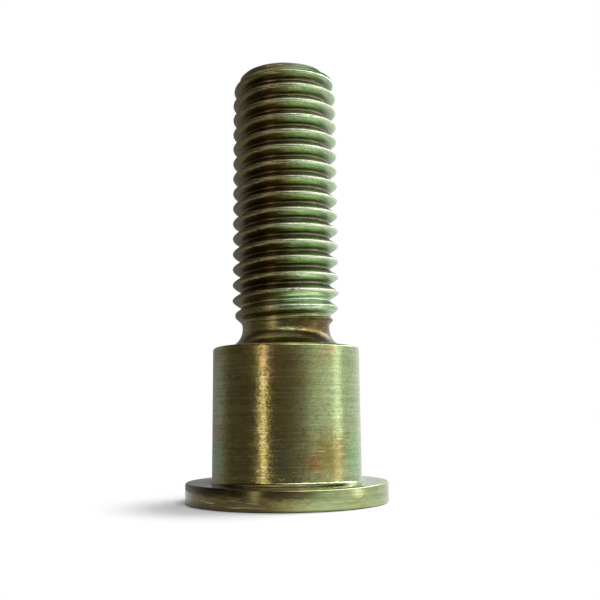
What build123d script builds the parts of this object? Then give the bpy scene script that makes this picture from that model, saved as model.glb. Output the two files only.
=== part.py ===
from build123d import *
from math import ceil, cos, radians, tan
import os

os.makedirs("parts", exist_ok=True)

# Shoulder bolt, M12 x 1.75, turned from one bar and plated.
# Origin at the middle of the head's outer face. +Z runs from the head to the thread's tip.
# The bolt stands on its head at Z = 0.

# overall sizes
head_diameter = 21.6
head_thickness = 2.15
shoulder_diameter = 16.0
shoulder_length = 14.15
bolt_length = 47.7

# thread, ISO metric coarse, right-handed
thread_pitch = 1.75
thread_basic_diameter = 12.0
crest_allowance = 0.16
thread_start_angle = -18.0

# tip: a short steep chamfer above a long shallow one that takes down the first crest
tip_diameter = 9.6
lead_diameter = 11.2
tip_chamfer_height = 0.65
lead_taper_height = 1.5

# relief groove between the shoulder and the thread
relief_diameter = 9.6
relief_radius = 2.1
relief_flat = 0.45
runout_diameter = 11.2
runout_taper_height = 1.8

# edge breaks, cut at 45 degrees, and the small cone left in the corner under the shoulder
head_edge_break = 0.2
shoulder_edge_break = 0.25
corner_cone_size = 0.45

# hexagon socket in the head, for an 8 mm key
key_size = 8.0
key_clearance = 0.1
socket_depth = 7.0
drill_point_angle = 118.0
mouth_overhang = 0.15
mouth_angle = 120.0

# thread form: 60 degree flanks, crest an eighth and root a quarter of the pitch
thread_height = thread_pitch * cos(radians(30))
thread_crest_diameter = thread_basic_diameter - crest_allowance
thread_root_diameter = thread_basic_diameter - 2 * thread_height * 17 / 24
flank_slope = tan(radians(30))

# heights along the axis
shoulder_top = head_thickness + shoulder_length
neck_bottom = shoulder_top + relief_radius
neck_top = neck_bottom + relief_flat
runout_start = neck_top + (runout_diameter - relief_diameter) / 2
thread_start = runout_start + runout_taper_height
lead_top = bolt_length - tip_chamfer_height
lead_bottom = lead_top - lead_taper_height

# the V groove between the thread's turns, cut from the relief groove up past the tip
groove_overrun = 0.1
groove_root_radius = thread_root_diameter / 2
groove_outer_radius = thread_basic_diameter / 2 + groove_overrun
groove_root_half_width = thread_pitch / 12
groove_outer_half_width = (
    groove_root_half_width + (groove_outer_radius - groove_root_radius) * flank_slope
)
groove_turns = ceil((bolt_length - neck_bottom) / thread_pitch)
groove_start_angle = thread_start_angle - 360 * (bolt_length - neck_bottom) / thread_pitch

with BuildPart() as groove_turn:
    with BuildLine() as groove_path:
        Helix(pitch=thread_pitch, height=thread_pitch, radius=groove_root_radius)
    with BuildSketch(Plane.XZ) as groove_section:
        with BuildLine():
            Polyline(
                (groove_root_radius, -groove_root_half_width),
                (groove_root_radius, groove_root_half_width),
                (groove_outer_radius, groove_outer_half_width),
                (groove_outer_radius, -groove_outer_half_width),
                close=True,
            )
        make_face()
    sweep(path=groove_path.wires()[0], is_frenet=True)

# the socket's outline
socket_flat_radius = (key_size + key_clearance) / 2
mouth_radius = socket_flat_radius / cos(radians(30)) + mouth_overhang

# the turned outline, drawn in the XZ plane from the axis round to the tip
head_radius = head_diameter / 2
shoulder_radius = shoulder_diameter / 2
relief_bottom_radius = relief_diameter / 2

with BuildPart() as shoulder_bolt:
    with BuildSketch(Plane.XZ) as outline:
        with BuildLine():
            Polyline(
                (0, 0),
                (head_radius - head_edge_break, 0),
                (head_radius, head_edge_break),
                (head_radius, head_thickness - head_edge_break),
                (head_radius - head_edge_break, head_thickness),
                (shoulder_radius + corner_cone_size, head_thickness),
                (shoulder_radius, head_thickness + corner_cone_size),
                (shoulder_radius, shoulder_top - shoulder_edge_break),
                (shoulder_radius - shoulder_edge_break, shoulder_top),
                (relief_bottom_radius + relief_radius, shoulder_top),
            )
            RadiusArc(
                (relief_bottom_radius + relief_radius, shoulder_top),
                (relief_bottom_radius, neck_bottom),
                relief_radius,
            )
            Polyline(
                (relief_bottom_radius, neck_bottom),
                (relief_bottom_radius, neck_top),
                (runout_diameter / 2, runout_start),
                (thread_crest_diameter / 2, thread_start),
                (thread_crest_diameter / 2, lead_bottom),
                (lead_diameter / 2, lead_top),
                (tip_diameter / 2, bolt_length),
                (0, bolt_length),
                (0, 0),
            )
        make_face()
    revolve(axis=Axis.Z)

    # the thread, one turn of the groove at a time
    for turn in range(groove_turns):
        with Locations((0, 0, neck_bottom + turn * thread_pitch)):
            add(groove_turn.part, rotation=(0, 0, groove_start_angle), mode=Mode.SUBTRACT)

    # the socket: countersunk mouth, hexagon, and the point left by the pilot drill
    with BuildSketch(Plane.XY) as socket_section:
        RegularPolygon(radius=socket_flat_radius, side_count=6, major_radius=False)
    extrude(amount=socket_depth, mode=Mode.SUBTRACT)
    Cone(
        bottom_radius=mouth_radius,
        top_radius=socket_flat_radius,
        height=(mouth_radius - socket_flat_radius) / tan(radians(mouth_angle / 2)),
        align=(Align.CENTER, Align.CENTER, Align.MIN),
        mode=Mode.SUBTRACT,
    )
    with Locations((0, 0, socket_depth)):
        Cone(
            bottom_radius=socket_flat_radius,
            top_radius=0,
            height=socket_flat_radius / tan(radians(drill_point_angle / 2)),
            align=(Align.CENTER, Align.CENTER, Align.MIN),
            mode=Mode.SUBTRACT,
        )

shoulder_bolt.part.label = "shoulder_bolt"
export_step(shoulder_bolt.part, "parts/shoulder_bolt.step")
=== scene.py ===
import math

import bmesh
import bpy
import numpy as np
from mathutils import Matrix, Vector


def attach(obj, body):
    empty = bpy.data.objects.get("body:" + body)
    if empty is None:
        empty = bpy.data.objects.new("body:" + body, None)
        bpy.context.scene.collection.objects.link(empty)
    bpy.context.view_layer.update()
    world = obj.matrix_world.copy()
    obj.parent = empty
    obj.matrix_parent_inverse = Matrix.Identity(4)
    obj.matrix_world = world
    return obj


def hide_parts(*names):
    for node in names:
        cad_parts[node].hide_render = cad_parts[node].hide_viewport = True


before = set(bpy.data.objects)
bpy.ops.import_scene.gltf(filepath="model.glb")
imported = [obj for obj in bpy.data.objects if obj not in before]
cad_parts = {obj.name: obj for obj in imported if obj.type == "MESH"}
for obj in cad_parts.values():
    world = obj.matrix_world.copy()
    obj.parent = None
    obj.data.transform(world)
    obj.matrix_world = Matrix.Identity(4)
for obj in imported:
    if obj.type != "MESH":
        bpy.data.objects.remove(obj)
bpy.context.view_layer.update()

MM = 0.001
WELD = 0.00005 * MM        # points closer than this are one point

# ---- sizes of the bolt, in millimetres ----
HEAD_R = 10.8
HEAD_TOP = 2.15
SHOULDER_R = 8.0
SHOULDER_TOP = 16.3
LENGTH = 47.7
TIP_R = 4.8

# relief groove: floor, fillet up from the shoulder's end, and the cone that the thread runs out over
GROOVE_R = 4.8
GROOVE_FILLET = 2.1
GROOVE_FLOOR = SHOULDER_TOP + GROOVE_FILLET
GROOVE_TOP = 18.85
RUNOUT_R = 5.6
RUNOUT_FOOT = 19.65
THREAD_FULL = 21.45        # height from which the thread has its full diameter

# thread
PITCH = 1.75
CREST_R = 5.92
ROOT_R = 4.9265
ROOT_HALF = 0.146          # half the width of the groove's root
FLANK_ANGLE = 30           # degrees between a flank and the plane across the axis
ROUNDED_OFF = 0.05         # what rounding takes off a flat crest
ROOT_ROUNDING = 0.2
CREST_ROUNDING = 0.25
CREST_AT = 44.727          # height of a crest's middle at the front of the bolt
LEAD_FOOT = 45.55          # where the shallow taper towards the tip starts
LEAD_TOP = 47.05           # lower edge of the tip's chamfer
LEAD_R = 5.62
THREAD_FOOT = LEAD_TOP - 16 * PITCH
STRIP_TURNS = 15
COLUMNS = 192

# hexagon socket
SOCKET_FLAT = 4.05
SOCKET_DEPTH = 7.0
DRILL_POINT = 9.43
SOCKET_MOUTH = SOCKET_FLAT / math.cos(math.radians(30)) + 0.15

# roundings: radius of the head's edges, the shoulder's edge and the fillet under the shoulder
HEAD_EDGE = 0.22
SHOULDER_EDGE = 0.28
CORNER_FILLET = 0.45

# knocks on the thread's crests: degrees round from the front, height, width and depth
KNOCKS = [(-11, 44.67, 0.17, 0.14), (35, 22.14, 0.2, 0.12), (5, 21.99, 0.16, 0.1), (28, 41.3, 0.16, 0.08),
          (52, 37.95, 0.2, 0.1), (12, 39.55, 0.14, 0.06), (47, 32.6, 0.22, 0.08), (-64, 35.7, 0.2, 0.08),
          (118, 27.5, 0.25, 0.12), (160, 38.9, 0.2, 0.1), (205, 31.3, 0.22, 0.12), (240, 43.8, 0.2, 0.09)]


def soft_min(a, b, k):
    """The smaller of a and b, with the corner between them rounded over about k."""
    return 0.5 * (a + b - np.sqrt((a - b) ** 2 + k * k))


def soft_max(a, b, k):
    """The larger of a and b, with the corner between them rounded over about k."""
    return 0.5 * (a + b + np.sqrt((a - b) ** 2 + k * k))


def turned_outline(z):
    """Radius of the bar above the shoulder before threading: straight lines between the turned corners."""
    full = CREST_R + ROUNDED_OFF
    return np.interp(
        z,
        [GROOVE_FLOOR, GROOVE_TOP, RUNOUT_FOOT, THREAD_FULL, LEAD_FOOT, LEAD_TOP, LENGTH],
        [GROOVE_R, GROOVE_R, RUNOUT_R, full, full, LEAD_R, TIP_R],
    )


def threaded_radius(angle, z):
    """Radius of the threaded bar: the outline cut by a V groove that climbs one pitch a turn.

    The distance from the middle of the groove, less half its flat root, over tan 30 gives the flank;
    the flank is rounded into the root and into the outline.
    """
    climb = CREST_AT + PITCH * (angle + math.pi / 2) / (2 * math.pi)
    from_crest = np.mod(z - climb + PITCH / 2, PITCH) - PITCH / 2
    from_root = PITCH / 2 - np.abs(from_crest)
    flank = ROOT_R + (from_root - ROOT_HALF) / math.tan(math.radians(FLANK_ANGLE))
    groove = soft_max(np.full_like(flank, ROOT_R), flank, ROOT_ROUNDING)
    return soft_min(turned_outline(z), groove, CREST_ROUNDING) - dents(angle, z)


def dents(angle, z):
    """Depth of the knocks: each falls off round its middle as a bell curve."""
    depth = 0.0
    for around, height, width, deep in KNOCKS:
        apart = np.mod(angle + math.pi / 2 - math.radians(around) + math.pi, 2 * math.pi) - math.pi
        depth = depth + deep * np.exp(-((apart * CREST_R) ** 2 + (z - height) ** 2) / width ** 2)
    return depth


def arc(centre_r, centre_z, radius, start, end, count):
    """Points of a circular arc in the half plane of radius and height, angles in degrees from outward."""
    turn = np.radians(np.linspace(start, end, count))
    return np.stack([centre_r + radius * np.cos(turn), centre_z + radius * np.sin(turn)], 1)


def polar_points(radius, angle, height):
    """Points at a radius, an angle round the axis and a height, for whole arrays at once."""
    radius, angle, height = np.broadcast_arrays(radius, angle, height)
    return np.stack([radius * np.cos(angle), radius * np.sin(angle), height], -1)


def quads(rows, columns):
    """Corner numbers of the quads between neighbouring rows and columns of a grid."""
    row, column = np.meshgrid(np.arange(rows - 1), np.arange(columns - 1), indexing="ij")
    a = (row * columns + column).ravel()
    return np.stack([a, a + 1, a + columns + 1, a + columns], 1)


def foot_rings(turn):
    """Rings from the socket's drilled point, over the hexagon, head, shoulder and groove, to the thread.

    The hexagon's radius is the flat's distance over the cosine of the angle from the flat's middle, and the
    socket's mouth is a cone of 120 degrees that meets each corner and flat at its own height.
    """
    hexagon = SOCKET_FLAT / np.cos(np.mod(turn, math.pi / 3) - math.pi / 6)
    meet = (SOCKET_MOUTH - hexagon) / math.tan(math.radians(60))
    rings = [(0, DRILL_POINT), (2.0, 8.23), (4.0, 7.03), (SOCKET_FLAT, SOCKET_DEPTH)]
    rings += [(hexagon - 0.03, SOCKET_DEPTH), (hexagon, SOCKET_DEPTH - 0.03)]
    rings += [(hexagon, 6.8), (hexagon, 4.0), (hexagon, 1.0), (hexagon, meet + 0.03)]
    rings += [(hexagon + 0.02, meet - 0.01), (SOCKET_MOUTH - 0.02, 0.012), (SOCKET_MOUTH + 0.03, 0.0)]
    rings += [(r, 0.0) for r in (SOCKET_MOUTH + 0.1, 6.0, 7.5, 9.0, 10.2, 10.5)]

    rings += list(arc(HEAD_R - HEAD_EDGE, HEAD_EDGE, HEAD_EDGE, -90, 0, 6))
    rings += [(HEAD_R, z) for z in (0.28, 0.8, 1.35, 1.87)]
    rings += list(arc(HEAD_R - HEAD_EDGE, HEAD_TOP - HEAD_EDGE, HEAD_EDGE, 0, 90, 6))
    rings += [(r, HEAD_TOP) for r in (10.5, 9.8, 9.0, 8.56)]

    rings += list(arc(SHOULDER_R + CORNER_FILLET, HEAD_TOP + CORNER_FILLET, CORNER_FILLET, -90, -180, 7))
    rings += [(SHOULDER_R, z) for z in np.linspace(2.7, 15.95, 14)]
    rings += list(arc(SHOULDER_R - SHOULDER_EDGE, SHOULDER_TOP - SHOULDER_EDGE, SHOULDER_EDGE, 0, 90, 7))
    rings += [(r, SHOULDER_TOP) for r in (7.62, 7.3, 6.98)]

    rings += list(arc(GROOVE_R + GROOVE_FILLET, GROOVE_FLOOR, GROOVE_FILLET, -90, -180, 22))
    rings += [(GROOVE_R, 18.5), (GROOVE_R, 18.65), (GROOVE_R, 18.8), (4.84, 18.89), (4.92, 18.97)]
    rings += [(threaded_radius(turn, THREAD_FOOT + 0 * turn), THREAD_FOOT)]
    return np.stack([polar_points(r, turn, z) for r, z in rings])


def tip_rings(turn):
    """Rings over the tip's chamfer and across the end face to its middle."""
    heights = (47.05, 47.1, 47.18, 47.28, 47.38, 47.48, 47.56, 47.63, 47.67)
    rings = [(threaded_radius(turn, h + 0 * turn), h) for h in heights]
    rings += [(TIP_R - 0.02, LENGTH - 0.01)]
    rings += [(r, LENGTH) for r in (4.72, 4.6, 3.6, 2.4, 1.2, 0)]
    return np.stack([polar_points(r, turn, z) for r, z in rings])


def thread_patches():
    """The thread: a strip that climbs one pitch a turn, with rows where the crest, flanks and root need
    them, and a wedge below and above it, which make its two ends level rings."""
    start = COLUMNS // 4
    seam = 2 * math.pi * start / COLUMNS
    crest = CREST_AT + PITCH * (seam + math.pi / 2) / (2 * math.pi)
    half = np.array([0, 0.04, 0.068, 0.085, 0.1, 0.125, 0.18, 0.25, 0.32, 0.375, 0.41, 0.44, 0.47])
    places = np.mod(np.concatenate([half, -half[1:], [0.5]]) + (crest - THREAD_FOOT) / PITCH, 1)
    places = np.unique(np.round(np.concatenate([[0, 1], places]), 6))[:, None]

    along = np.arange(STRIP_TURNS * COLUMNS + 1)[None, :]
    turn = np.arange(COLUMNS + 1)[None, :]
    part = turn / COLUMNS
    strip_top = THREAD_FOOT + STRIP_TURNS * PITCH
    sheets = [
        (along, THREAD_FOOT + PITCH * along / COLUMNS + PITCH * places),
        (turn, THREAD_FOOT + PITCH * part * places),
        (turn, strip_top + PITCH * part + PITCH * (1 - part) * places),
    ]
    made = []
    for column, height in sheets:
        angle = 2 * math.pi * np.mod(column + start, COLUMNS) / COLUMNS + 0 * height
        made.append(polar_points(threaded_radius(angle, height), angle, height))
    return made


def bolt_mesh():
    """The whole bolt as one closed skin, from the rings and the thread's strip and wedges."""
    turn = 2 * math.pi * np.mod(np.arange(COLUMNS + 1), COLUMNS) / COLUMNS
    points, faces, first = [], [], 0
    for grid in [foot_rings(turn), *thread_patches(), tip_rings(turn)]:
        rows, columns = grid.shape[:2]
        points.append(grid.reshape(-1, 3) * MM)
        faces.append(quads(rows, columns) + first)
        first += rows * columns
    mesh = bpy.data.meshes.new("shoulder_bolt_steel")
    mesh.from_pydata(np.concatenate(points).tolist(), [], np.concatenate(faces).tolist())
    work = bmesh.new()
    work.from_mesh(mesh)
    bmesh.ops.remove_doubles(work, verts=work.verts, dist=WELD)
    bmesh.ops.recalc_face_normals(work, faces=work.faces)
    work.to_mesh(mesh)
    work.free()
    mesh.polygons.foreach_set("use_smooth", np.ones(len(mesh.polygons), bool))
    return mesh


def linear(code):
    """sRGB hex colour to linear RGBA."""
    rgb = np.array([int(code[i:i + 2], 16) for i in (1, 3, 5)]) / 255
    rgb = np.where(rgb <= 0.04045, rgb / 12.92, ((rgb + 0.055) / 1.055) ** 2.4)
    return (*[float(v) for v in rgb], 1.0)


MATH = "ShaderNodeMath"
ADD, SUBTRACT, MULTIPLY, DIVIDE = [{"operation": name} for name in ("ADD", "SUBTRACT", "MULTIPLY", "DIVIDE")]
MULTIPLY_ADD, LARGER, ROOT = [{"operation": name} for name in ("MULTIPLY_ADD", "MAXIMUM", "SQRT")]
EASE, SMOOTH = "ShaderNodeMapRange", {"interpolation_type": "SMOOTHSTEP"}
MIX, COVER = "ShaderNodeMix", {"data_type": "RGBA", "blend_type": "MIX"}
TINT = {"data_type": "RGBA", "blend_type": "MULTIPLY"}


def node(tree, kind, settings=None, out=0, **inputs):
    """Adds a node, sets its properties and its inputs by name or as _number, links the sockets given, and
    returns the output asked for."""
    made = tree.nodes.new(kind)
    for key, value in (settings or {}).items():
        setattr(made, key, value)
    for key, value in inputs.items():
        socket = made.inputs[int(key[1:])] if key[1:].isdigit() else made.inputs[key.replace("_", " ")]
        if isinstance(value, bpy.types.NodeSocket):
            tree.links.new(value, socket)
        else:
            socket.default_value = value
    return made.outputs[out] if made.outputs else None


# film colours round the bolt: from the gold and brown side to the sage green one
FILM_TONES = [(0.0, "#a49d76"), (0.2, "#b0a263"), (0.38, "#b3a05f"), (0.52, "#b1ab70"), (0.68, "#abb67f"),
              (1.0, "#a3b78a")]
# stains in the film, and a painted highlight: the last, near-white entry paints the light on the thread's
# last crest. Middle in mm, reach in mm, share and colour
STAINS_AND_HIGHLIGHT = [((4.4, -6.7, 5.0), 3.8, 0.75, "#8f7a3c"), ((2.6, -7.5, 4.5), 1.5, 0.5, "#b07448"),
          ((7.3, -3.3, 5.0), 3.0, 0.7, "#86bb86"), ((-7.4, -3.0, 4.5), 2.6, 0.6, "#8fb88c"),
          ((-7.6, -2.4, 11.0), 4.5, 0.6, "#b4c49a"), ((-6.6, 4.6, 9.0), 3.4, 0.6, "#b07a54"),
          ((3.6, 7.2, 12.0), 3.6, 0.6, "#8fae78"), ((2.4, -5.2, 21.7), 3.4, 0.95, "#f4f5e0")]


def plated_steel():
    """Turned steel, zinc plated and yellow passivated: a thin clear film that goes from sage green to olive,
    gold and rose where its thickness changes, over the fine rings that the lathe tool leaves. Painted shade
    and painted highlights are mixed into the film colour too."""
    material = bpy.data.materials.new("yellow_passivated_zinc_on_turned_steel")
    material.use_nodes = True
    tree = material.node_tree
    tree.nodes.clear()
    place = node(tree, "ShaderNodeTexCoord", out="Object")
    x, y, z = node(tree, "ShaderNodeSeparateXYZ", _0=place).node.outputs
    squares = node(tree, MATH, MULTIPLY_ADD, _0=x, _1=x, _2=node(tree, MATH, MULTIPLY, _0=y, _1=y))
    radius = node(tree, MATH, ROOT, _0=squares)
    outward = node(tree, MATH, ADD, _0=z, _1=radius)

    def patches(scale, detail, offset):
        """Noise with blobs of about 1/scale metres."""
        shifted = node(tree, "ShaderNodeMapping", _0=place, _1=offset)
        return node(tree, "ShaderNodeTexNoise", Vector=shifted, Scale=scale, Detail=detail, Roughness=0.55)

    def rings(width, around, detail):
        """Noise drawn out round the axis: width in metres along the profile, around in metres round it."""
        stretched = node(tree, "ShaderNodeCombineXYZ", _0=node(tree, MATH, MULTIPLY, _0=x, _1=1 / around),
                         _1=node(tree, MATH, MULTIPLY, _0=y, _1=1 / around),
                         _2=node(tree, MATH, MULTIPLY, _0=outward, _1=1 / width))
        return node(tree, "ShaderNodeTexNoise", Vector=stretched, Scale=1.0, Detail=detail, Roughness=0.6)

    # film colour: gold and brown on one side of the bolt, sage green on the other, clouded between
    cloud = patches(160, 3, (0.01, 0.02, 0.0))
    band = rings(2.2 * MM, 20 * MM, 2)
    side = node(tree, MATH, DIVIDE, _0=x, _1=node(tree, MATH, LARGER, _0=radius, _1=2 * MM))
    side = node(tree, MATH, MULTIPLY_ADD, _0=node(tree, MATH, SUBTRACT, _0=cloud, _1=0.5), _1=0.9, _2=side)
    side = node(tree, MATH, MULTIPLY_ADD, _0=node(tree, MATH, SUBTRACT, _0=band, _1=0.5), _1=0.5, _2=side)
    film = node(tree, "ShaderNodeValToRGB", _0=node(tree, MATH, MULTIPLY_ADD, _0=side, _1=0.5, _2=0.5))
    tones = film.node.color_ramp.elements
    for number in (0, -1):
        tones[number].position, tones[number].color = FILM_TONES[number][0], linear(FILM_TONES[number][1])
    for position, tone in FILM_TONES[1:-1]:
        tones.new(position).color = linear(tone)
    rose = node(tree, EASE, SMOOTH, Value=patches(210, 3, (0.3, 0.1, 0.2)),
                From_Min=0.6, From_Max=0.74, To_Max=0.5)
    film = node(tree, MIX, COVER, out=2, _0=rose, _6=film, _7=linear("#b98a6a"))
    teal = node(tree, EASE, SMOOTH, Value=patches(190, 3, (0.7, 0.4, 0.9)),
                From_Min=0.58, From_Max=0.74, To_Max=0.5)
    film = node(tree, MIX, COVER, out=2, _0=teal, _6=film, _7=linear("#86ae94"))

    blotch = patches(900, 3, (0.2, 0.5, 0.1))
    ragged = node(tree, MATH, SUBTRACT, _0=blotch, _1=0.5)
    # the near-white last entry is a painted highlight, mixed in the same way as the stains
    for centre, reach, share, tone in STAINS_AND_HIGHLIGHT:
        middle = tuple(v * MM for v in centre)
        apart = node(tree, "ShaderNodeVectorMath", {"operation": "DISTANCE"}, out="Value",
                     _0=place, _1=middle)
        apart = node(tree, MATH, MULTIPLY_ADD, _0=ragged, _1=reach * 1.2 * MM, _2=apart)
        stain_and_highlight = node(tree, EASE, SMOOTH, Value=apart, From_Min=reach * 0.25 * MM, From_Max=reach * MM,
                     To_Min=share, To_Max=0.0)
        film = node(tree, MIX, COVER, out=2, _0=stain_and_highlight, _6=film, _7=linear(tone))

    # the thread: paler film with painted shade on its left, brown painted shade in the roots and painted
    # highlights on its right-hand crests; the groove gets browner film under painted shade, and the head gets
    # painted shade on its left
    rightward = node(tree, EASE, SMOOTH, Value=side, From_Min=-0.35, From_Max=0.45)
    threaded = node(tree, EASE, SMOOTH, Value=z, From_Min=19.2 * MM, From_Max=20.0 * MM)
    # painted shade: the thread's film is darker on the left side than on the right
    thread_tone_shaded_left = node(tree, MIX, COVER, out=2, _0=rightward, _6=linear("#8a805c"), _7=linear("#a3c299"))
    film = node(tree, MIX, COVER, out=2, _0=node(tree, MATH, MULTIPLY, _0=threaded, _1=0.7), _6=film, _7=thread_tone_shaded_left)
    # painted shade: brown deepens from the crests down the flanks into the roots, where the neighbouring
    # turns shade them
    deep = node(tree, EASE, SMOOTH, Value=radius, From_Min=4.95 * MM, From_Max=5.72 * MM,
                To_Min=0.85, To_Max=0.0)
    below_tip = node(tree, EASE, SMOOTH, Value=z, From_Min=46.9 * MM, From_Max=47.1 * MM,
                     To_Min=1.0, To_Max=0.0)
    cut_in = node(tree, EASE, SMOOTH, Value=z, From_Min=21.6 * MM, From_Max=22.3 * MM)
    deep = node(tree, MATH, MULTIPLY, _0=deep, _1=node(tree, MATH, MULTIPLY, _0=cut_in, _1=below_tip))
    brown = node(tree, MIX, COVER, out=2, _0=rightward, _6=linear("#5c4930"), _7=linear("#4e4229"))
    film = node(tree, MIX, COVER, out=2, _0=deep, _6=film, _7=brown)
    # painted highlight: cream on the thread's crests, on the right-hand side only
    crest = node(tree, EASE, SMOOTH, Value=radius, From_Min=5.70 * MM, From_Max=5.88 * MM, To_Max=0.75)
    crest = node(tree, MATH, MULTIPLY, _0=crest, _1=node(tree, MATH, MULTIPLY, _0=threaded, _1=rightward))
    film = node(tree, MIX, COVER, out=2, _0=crest, _6=film, _7=linear("#e2e4cc"))
    # the groove: browner film, darkened further as painted shade, most on the right
    narrow = node(tree, EASE, SMOOTH, Value=radius, From_Min=6.0 * MM, From_Max=6.8 * MM,
                  To_Min=1.0, To_Max=0.0)
    above = node(tree, EASE, SMOOTH, Value=z, From_Min=16.3 * MM, From_Max=16.8 * MM)
    groove = node(tree, MATH, MULTIPLY, _0=narrow, _1=node(tree, MATH, SUBTRACT, _0=above, _1=threaded))
    brown = node(tree, MIX, COVER, out=2, _0=blotch, _6=linear("#43391d"), _7=linear("#6c5d35"))
    browner = node(tree, EASE, Value=rightward, To_Min=0.25, To_Max=1.0)
    film = node(tree, MIX, COVER, out=2, _0=node(tree, MATH, MULTIPLY, _0=groove, _1=browner),
                _6=film, _7=brown)
    # painted shade: the head's film is darkened towards the left
    head = node(tree, EASE, SMOOTH, Value=z, From_Min=2.1 * MM, From_Max=2.4 * MM,
                To_Min=1.0, To_Max=0.0)
    left_shade = node(tree, EASE, Value=rightward, To_Min=0.88, To_Max=0.0)
    film = node(tree, MIX, COVER, out=2, _0=node(tree, MATH, MULTIPLY, _0=head, _1=left_shade), _6=film,
                _7=linear("#4f4630"))

    # lathe rings 0.22 and 0.6 mm apart, specks of worn film, grain and hairline scratches. The tool's real
    # feed marks are finer, and are drawn this coarse so that they show
    fine = rings(0.22 * MM, 8 * MM, 3)
    coarse = rings(0.6 * MM, 20 * MM, 2)
    mottle = rings(0.45 * MM, 1.1 * MM, 2)
    grain = rings(0.16 * MM, 0.4 * MM, 1)
    hairline = node(tree, EASE, SMOOTH, Value=rings(0.08 * MM, 2.2 * MM, 0), From_Min=0.72, From_Max=0.8)
    worn = node(tree, EASE, SMOOTH, Value=fine, From_Min=0.3, From_Max=0.7, To_Max=0.3)
    film = node(tree, MIX, TINT, out=2, _0=worn, _6=film, _7=linear("#5e5a3c"))
    worn = node(tree, EASE, SMOOTH, Value=mottle, From_Min=0.45, From_Max=0.75, To_Max=0.22)
    film = node(tree, MIX, COVER, out=2, _0=worn, _6=film, _7=linear("#6a5c34"))
    calm = node(tree, MATH, MULTIPLY_ADD, _0=head, _1=-0.75, _2=1.0)
    worn = node(tree, EASE, SMOOTH, Value=grain, From_Min=0.5, From_Max=0.7, To_Max=0.28)
    film = node(tree, MIX, TINT, out=2, _0=node(tree, MATH, MULTIPLY, _0=worn, _1=calm), _6=film,
                _7=linear("#6e6a4a"))
    film = node(tree, MIX, COVER, out=2, _0=node(tree, MATH, MULTIPLY, _0=hairline, _1=0.4), _6=film,
                _7=linear("#d8d8bc"))
    height = node(tree, MATH, MULTIPLY, _0=fine, _1=0.35)
    height = node(tree, MATH, MULTIPLY_ADD, _0=coarse, _1=0.6, _2=height)
    height = node(tree, MATH, MULTIPLY_ADD, _0=mottle, _1=1.9, _2=height)
    height = node(tree, MATH, MULTIPLY_ADD, _0=grain, _1=0.35, _2=height)
    height = node(tree, MATH, MULTIPLY_ADD, _0=patches(1700, 2, (0.5, 0.2, 0.4)), _1=1.1, _2=height)
    groove_rings = node(tree, MATH, MULTIPLY, _0=groove, _1=coarse)
    height = node(tree, MATH, MULTIPLY_ADD, _0=groove_rings, _1=3.0, _2=height)
    height = node(tree, MATH, MULTIPLY, _0=height, _1=calm)
    bump = node(tree, "ShaderNodeBump", Strength=0.8, Distance=0.02 * MM, Height=height)
    rough = node(tree, EASE, Value=node(tree, MATH, ADD, _0=coarse, _1=cloud), From_Min=0.7, From_Max=1.3,
                 To_Min=0.14, To_Max=0.22)
    rough = node(tree, MATH, MULTIPLY_ADD, _0=threaded, _1=0.08, _2=rough)
    rough = node(tree, MATH, MULTIPLY_ADD, _0=groove, _1=0.06, _2=rough)

    tangent = node(tree, "ShaderNodeTangent", {"direction_type": "RADIAL", "axis": "Z"})
    shader = node(tree, "ShaderNodeBsdfPrincipled", Base_Color=film, Metallic=1.0, Roughness=rough,
                  Anisotropic=0.75, Tangent=tangent, Normal=bump)
    node(tree, "ShaderNodeOutputMaterial", Surface=shader)
    return material


def grid_mesh(name, points):
    """A sheet through a grid of points in metres."""
    mesh = bpy.data.meshes.new(name)
    rows, columns = points.shape[:2]
    mesh.from_pydata(points.reshape(-1, 3).tolist(), [], quads(rows, columns).tolist())
    return mesh


def add_object(name, data):
    """An object of this data, in the scene."""
    made = bpy.data.objects.new(name, data)
    bpy.context.collection.objects.link(made)
    return made


bolt = add_object("shoulder_bolt_steel", bolt_mesh())
bolt.data.materials.append(plated_steel())
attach(bolt, "root")
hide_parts("shoulder_bolt")

# ---- studio ----
scene = bpy.context.scene
scene.view_settings.view_transform = "Standard"


def seen_rays(tree):
    """1 for camera, glossy and transmission rays, which see the white background."""
    path = node(tree, "ShaderNodeLightPath").node.outputs
    seen = node(tree, MATH, LARGER, _0=path["Is Camera Ray"], _1=path["Is Glossy Ray"])
    return node(tree, MATH, LARGER, _0=seen, _1=path["Is Transmission Ray"])


def white_table():
    """Matt white table: its colour and the lamps give its tone near the bolt, and it goes over to plain
    white away from it."""
    material = bpy.data.materials.new("matt_white_table")
    material.use_nodes = True
    tree = material.node_tree
    tree.nodes.clear()
    place = node(tree, "ShaderNodeTexCoord", out="Object")
    reach = node(tree, "ShaderNodeVectorMath", {"operation": "LENGTH"}, out="Value", _0=place)
    away = node(tree, EASE, SMOOTH, Value=reach, From_Min=12.5 * MM, From_Max=21 * MM)
    white = node(tree, "ShaderNodeEmission", Color=(1, 1, 1, 1), Strength=1.0)
    board = node(tree, "ShaderNodeBsdfDiffuse", Color=linear("#ececec"))
    factor = node(tree, MATH, MULTIPLY, _0=away, _1=seen_rays(tree))
    shade = node(tree, "ShaderNodeMixShader", _0=factor, _1=board, _2=white)
    node(tree, "ShaderNodeOutputMaterial", Surface=shade)
    return material


rim = np.radians(np.linspace(0, 360, 97))[None, :]
table_rings = np.array([[0.0], [12 * MM], [22 * MM]])
floor = add_object("floor", grid_mesh("floor", polar_points(table_rings, rim, 0.0)))
floor.data.materials.append(white_table())

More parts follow.
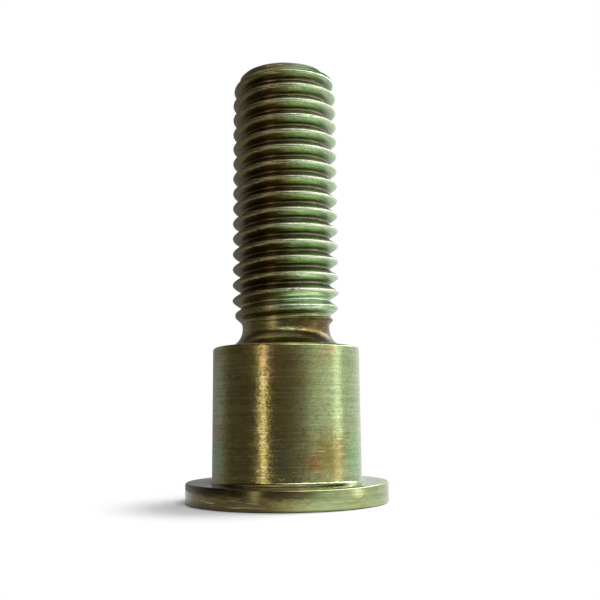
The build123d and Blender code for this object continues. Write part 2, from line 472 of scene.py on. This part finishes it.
world = bpy.data.worlds.new("studio")
scene.world = world
world.use_nodes = True
tree = world.node_tree
tree.nodes.clear()
room = node(tree, "ShaderNodeBackground", Color=(1, 1, 1, 1), Strength=0.3)
white = node(tree, "ShaderNodeBackground", Color=(1, 1, 1, 1), Strength=1.0)
sky = node(tree, "ShaderNodeMixShader", _0=seen_rays(tree), _1=room, _2=white)
node(tree, "ShaderNodeOutputWorld", Surface=sky)


# brightness of the wall round the bolt: compass angle in degrees (0 towards the camera, 90 to its right)
WALL = [(-180, 0.45), (-165, 0.25), (-150, 0.3), (-118, 0.33), (-97, 0.1), (-50, 0.06), (-20, 0.08),
        (1, 0.13), (13, 0.18), (26, 0.31), (39, 0.62), (52, 0.9), (66, 1.0), (76, 1.05), (80, 2.7),
        (86, 2.7), (92, 0.9), (121, 1.05), (157, 1.15), (180, 0.8)]
DOME_R = 0.4
BOLT_MIDDLE = 0.024


def surround():
    """The studio's cards and soft boxes as reflections show them: a dome painted by compass angle (0 towards
    the camera, 90 to its right) and by rise. Only glossy rays see it; the lamps below light the rest."""
    compass = np.linspace(-180, 180, 181)
    rise = np.concatenate([np.linspace(-90, -30, 13), np.linspace(-29, 50, 80), np.linspace(55, 90, 8)])
    a, e = np.meshgrid(compass, rise)

    def step(value, low, high):
        part = np.clip((value - low) / (high - low), 0, 1)
        return part * part * (3 - 2 * part)

    wall = np.interp(a, *zip(*WALL))
    strip = 4.3 * step(a, -38.5, -37) * (1 - step(a, -33, -31.5)) * (1 - step(e, 24, 34))
    key = 6.0 * step(a, -24, 20) * (1 - step(a, 120, 165)) * step(e, 18, 24) * (1 - step(e, 29, 36))
    ceiling = 0.75 * step(e, 42, 70) + 0.15 * step(a, -20, 30) * (1 - step(a, 140, 175)) * step(e, 34, 38)
    glow = (wall + strip) * (1 - step(e, 20, 35)) + key + ceiling + 0.02
    a, e = np.radians(a), np.radians(e)
    points = DOME_R * np.stack([np.cos(e) * np.sin(a), -np.cos(e) * np.cos(a), np.sin(e)], -1)
    mesh = grid_mesh("surround", points + [0, 0, BOLT_MIDDLE])
    paint = mesh.attributes.new("glow", "FLOAT", "POINT")
    paint.data.foreach_set("value", glow.ravel())
    material = bpy.data.materials.new("cards_and_soft_boxes")
    material.use_nodes = True
    tree = material.node_tree
    tree.nodes.clear()
    brightness = node(tree, "ShaderNodeAttribute", {"attribute_name": "glow"}, out="Fac")
    light = node(tree, "ShaderNodeEmission", Strength=brightness)
    node(tree, "ShaderNodeOutputMaterial", Surface=light)
    mesh.materials.append(material)
    made = add_object("surround", mesh)
    for ray in ("camera", "diffuse", "transmission", "volume_scatter", "shadow"):
        setattr(made, "visible_" + ray, False)


surround()


def softbox(name, compass, rise, away, width, height, power):
    """A soft rectangular lamp that faces the bolt's middle from a compass angle and a rise in degrees."""
    lamp = bpy.data.lights.new(name, "AREA")
    lamp.shape = "RECTANGLE"
    lamp.size, lamp.size_y, lamp.energy = width, height, power
    made = add_object(name, lamp)
    made.visible_glossy = False
    a, e = math.radians(compass), math.radians(rise)
    back = Vector((math.sin(a) * math.cos(e), -math.cos(a) * math.cos(e), math.sin(e)))
    made.matrix_world = (
        Matrix.Translation(Vector((0, 0, BOLT_MIDDLE)) + back * away)
        @ back.to_track_quat("Z", "Y").to_matrix().to_4x4()
    )


softbox("window_right", 125, 42, 0.3, 0.2, 0.2, 1.0)
softbox("lamp_above", 20, 70, 0.3, 0.25, 0.25, 0.5)

# ---- camera: distance and height in metres, tilt in degrees, pan and roll in radians ----
CAMERA_AWAY, CAMERA_HEIGHT = 0.08942, 0.008886
CAMERA_TILT, CAMERA_PAN, CAMERA_ROLL = 10.26, -0.018, -0.010
camera = bpy.data.cameras.new("camera")
camera.sensor_width = 36
camera.lens = 48.634
camera.shift_y = -0.05
camera.clip_start = 0.005
camera_object = add_object("camera", camera)
camera_object.matrix_world = (
    Matrix.Translation((0, -CAMERA_AWAY, CAMERA_HEIGHT))
    @ Matrix.Rotation(CAMERA_PAN, 4, "Z")
    @ Matrix.Rotation(math.radians(90 + CAMERA_TILT), 4, "X")
    @ Matrix.Rotation(CAMERA_ROLL, 4, "Z")
)
scene.camera = camera_object
